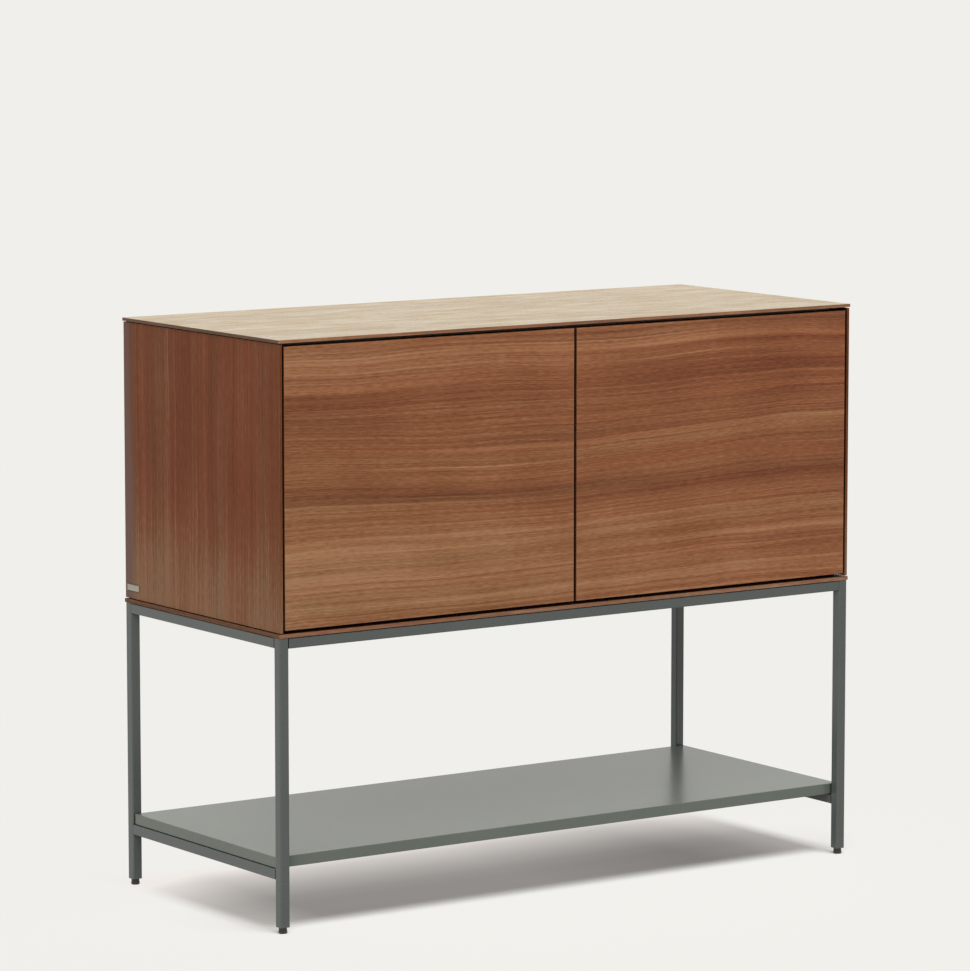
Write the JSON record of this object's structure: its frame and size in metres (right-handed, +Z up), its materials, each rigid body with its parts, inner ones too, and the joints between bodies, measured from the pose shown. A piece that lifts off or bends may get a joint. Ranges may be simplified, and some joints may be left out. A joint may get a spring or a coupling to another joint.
{
  "type": "sideboard",
  "caption": "Low walnut cabinet with inset push-to-open doors on concealed hinges, standing on a painted square-tube steel frame with a folded steel shelf below.",
  "frame": {"origin": "on the floor, under the middle of the sideboard's width and depth", "axes": "+X along the width, to the right for someone who faces the doors; the front faces -Y; +Z up"},
  "size_m": [1, 0.42, 0.828],
  "materials": {
    "walnut_doors": "satin lacquered walnut veneer, grain across",
    "walnut_sides": "satin lacquered walnut veneer, grain upright",
    "walnut_top": "satin lacquered walnut veneer, grain along",
    "walnut_inside": "matt lacquered walnut veneer",
    "painted_steel": "satin powder coat, grey green",
    "hinge_steel": "nickel plated",
    "screw_steel": "zinc plated",
    "latch_plastic": "moulded",
    "plunger_plastic": "moulded",
    "foot_plastic": "moulded"
  },
  "bodies": {
    "case_and_frame": {"top_panel": "walnut_top", "bottom_panel": "walnut_sides", "left_side_panel": "walnut_sides", "right_side_panel": "walnut_sides", "back_panel": "walnut_inside", "centre_divider": "walnut_inside", "left_inner_shelf": "walnut_inside", "right_inner_shelf": "walnut_inside", "left_outer_front_shelf_pin": "hinge_steel", "left_outer_back_shelf_pin": "hinge_steel", "left_inner_front_shelf_pin": "hinge_steel", "left_inner_back_shelf_pin": "hinge_steel", "right_outer_front_shelf_pin": "hinge_steel", "right_outer_back_shelf_pin": "hinge_steel", "right_inner_front_shelf_pin": "hinge_steel", "right_inner_back_shelf_pin": "hinge_steel", "left_lower_hinge_arm": "hinge_steel", "left_lower_hinge_plate": "hinge_steel", "left_lower_hinge_pin": "hinge_steel", "left_upper_hinge_arm": "hinge_steel", "left_upper_hinge_plate": "hinge_steel", "left_upper_hinge_pin": "hinge_steel", "right_lower_hinge_arm": "hinge_steel", "right_lower_hinge_plate": "hinge_steel", "right_lower_hinge_pin": "hinge_steel", "right_upper_hinge_arm": "hinge_steel", "right_upper_hinge_plate": "hinge_steel", "right_upper_hinge_pin": "hinge_steel", "left_latch_housing": "latch_plastic", "right_latch_housing": "latch_plastic", "left_front_leg": "painted_steel", "left_back_leg": "painted_steel", "right_front_leg": "painted_steel", "right_back_leg": "painted_steel", "front_top_rail": "painted_steel", "back_top_rail": "painted_steel", "left_top_rail": "painted_steel", "right_top_rail": "painted_steel", "left_lower_bar": "painted_steel", "right_lower_bar": "painted_steel", "steel_shelf": "painted_steel", "left_front_case_screw": "screw_steel", "left_back_case_screw": "screw_steel", "right_front_case_screw": "screw_steel", "right_back_case_screw": "screw_steel"},
    "left_door": {"left_door": "walnut_doors", "left_lower_hinge_cup": "hinge_steel", "left_upper_hinge_cup": "hinge_steel", "left_strike_plate": "screw_steel"},
    "right_door": {"right_door": "walnut_doors", "right_lower_hinge_cup": "hinge_steel", "right_upper_hinge_cup": "hinge_steel", "right_strike_plate": "screw_steel"},
    "left_latch_plunger": {"left_latch_plunger": "plunger_plastic"},
    "right_latch_plunger": {"right_latch_plunger": "plunger_plastic"},
    "left_front_foot": {"left_front_foot": "foot_plastic"},
    "left_back_foot": {"left_back_foot": "foot_plastic"},
    "right_front_foot": {"right_front_foot": "foot_plastic"},
    "right_back_foot": {"right_back_foot": "foot_plastic"}
  },
  "joints": [
    {"name": "left_door_swing", "type": "hinge", "parent": "case_and_frame", "child": "left_door", "pos_m": [-0.478, -0.2015, 0.4258], "axis": [0, 0, -1], "range_deg": [0, 100]},
    {"name": "right_door_swing", "type": "hinge", "parent": "case_and_frame", "child": "right_door", "pos_m": [0.478, -0.2015, 0.4258], "axis": [0, 0, 1], "range_deg": [0, 100]},
    {"name": "left_latch_press", "type": "slide", "parent": "case_and_frame", "child": "left_latch_plunger", "axis": [0, 1, 0], "range_m": [0, 0.0025], "stiffness_N_per_m": 400},
    {"name": "right_latch_press", "type": "slide", "parent": "case_and_frame", "child": "right_latch_plunger", "axis": [0, 1, 0], "range_m": [0, 0.0025], "stiffness_N_per_m": 400},
    {"name": "left_front_foot_turn", "type": "hinge", "parent": "case_and_frame", "child": "left_front_foot", "pos_m": [-0.4915, -0.2015, 0], "axis": [0, 0, 1], "continuous": true},
    {"name": "left_back_foot_turn", "type": "hinge", "parent": "case_and_frame", "child": "left_back_foot", "pos_m": [-0.4915, 0.2015, 0], "axis": [0, 0, 1], "continuous": true},
    {"name": "right_front_foot_turn", "type": "hinge", "parent": "case_and_frame", "child": "right_front_foot", "pos_m": [0.4915, -0.2015, 0], "axis": [0, 0, 1], "continuous": true},
    {"name": "right_back_foot_turn", "type": "hinge", "parent": "case_and_frame", "child": "right_back_foot", "pos_m": [0.4915, 0.2015, 0], "axis": [0, 0, 1], "continuous": true}
  ]
}
